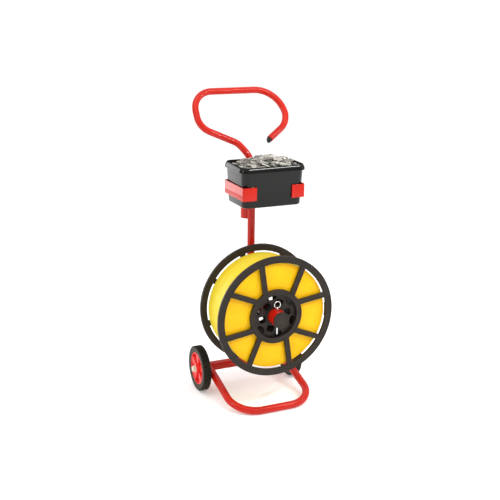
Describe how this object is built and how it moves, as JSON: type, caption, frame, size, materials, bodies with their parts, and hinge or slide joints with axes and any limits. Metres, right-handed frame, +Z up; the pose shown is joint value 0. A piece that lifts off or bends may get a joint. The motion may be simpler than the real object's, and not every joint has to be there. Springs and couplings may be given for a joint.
{
  "type": "strapping dispenser trolley",
  "caption": "Two-wheeled tube trolley with an open loop handle, a spoked reel of strapping on a pinned spindle and a lift-out tote of strap seals.",
  "frame": {"origin": "on the floor, under the middle of the whole trolley's box", "axes": "+Z up, +Y from the reel's face towards the mast and handle, +X to the right seen from the reel's side"},
  "size_m": [0.4039, 0.3873, 1.0114],
  "materials": {
    "red_paint": "gloss powder coat",
    "bright_steel": "zinc plated",
    "pin_wire": "bright zinc",
    "reel_plastic": "moulded, satin",
    "strap_yellow": "satin polypropylene",
    "tote_black": "glossy moulded",
    "seal_zinc": "galvanised",
    "tyre_rubber": "matt",
    "hub_red": "gloss moulded",
    "cap_cream": "satin",
    "plug_black": "moulded"
  },
  "bodies": {
    "frame": {"mast_tube": "red_paint", "handle_tube": "red_paint", "handle_plug": "plug_black", "base_tube": "red_paint", "cross_bar": "red_paint", "axle_rod": "bright_steel", "spindle_plate": "red_paint", "spindle_tube": "red_paint", "spindle_stop_ring": "red_paint", "spindle_end_cap": "reel_plastic", "box_cradle": "red_paint", "cradle_mount_block": "red_paint", "tool_sleeve": "red_paint", "axle_plate_left": "red_paint", "axle_washer_left": "bright_steel", "axle_cap_left": "cap_cream", "axle_plate_right": "red_paint", "axle_washer_right": "bright_steel", "axle_cap_right": "cap_cream"},
    "reel": {"front_flange": "reel_plastic", "rear_flange": "reel_plastic", "winding_core": "reel_plastic", "front_hub_web": "reel_plastic", "rear_hub_web": "reel_plastic", "strap_winding": "strap_yellow", "strap_end_clip": "plug_black"},
    "pin": {"retaining_pin": "pin_wire"},
    "tote": {"seal_box": "tote_black", "seal_heap": "seal_zinc"},
    "wheel_left": {"tyre_left": "tyre_rubber", "wheel_hub_left": "hub_red"},
    "wheel_right": {"tyre_right": "tyre_rubber", "wheel_hub_right": "hub_red"}
  },
  "joints": [
    {"name": "reel_spin", "type": "hinge", "parent": "frame", "child": "reel", "pos_m": [0, -0.07617, 0.322], "axis": [0, 1, 0], "continuous": true},
    {"name": "wheel_left_spin", "type": "hinge", "parent": "frame", "child": "wheel_left", "pos_m": [-0.17, 0.08533, 0.077], "axis": [1, 0, 0], "continuous": true},
    {"name": "wheel_right_spin", "type": "hinge", "parent": "frame", "child": "wheel_right", "pos_m": [0.17, 0.08533, 0.077], "axis": [1, 0, 0], "continuous": true},
    {"name": "pin_pull", "type": "slide", "parent": "frame", "child": "pin", "axis": [0, 0, 1], "range_m": [0, 0.09]},
    {"name": "box_lift", "type": "slide", "parent": "frame", "child": "tote", "axis": [0, 0, 1], "range_m": [0, 0.16]}
  ]
}
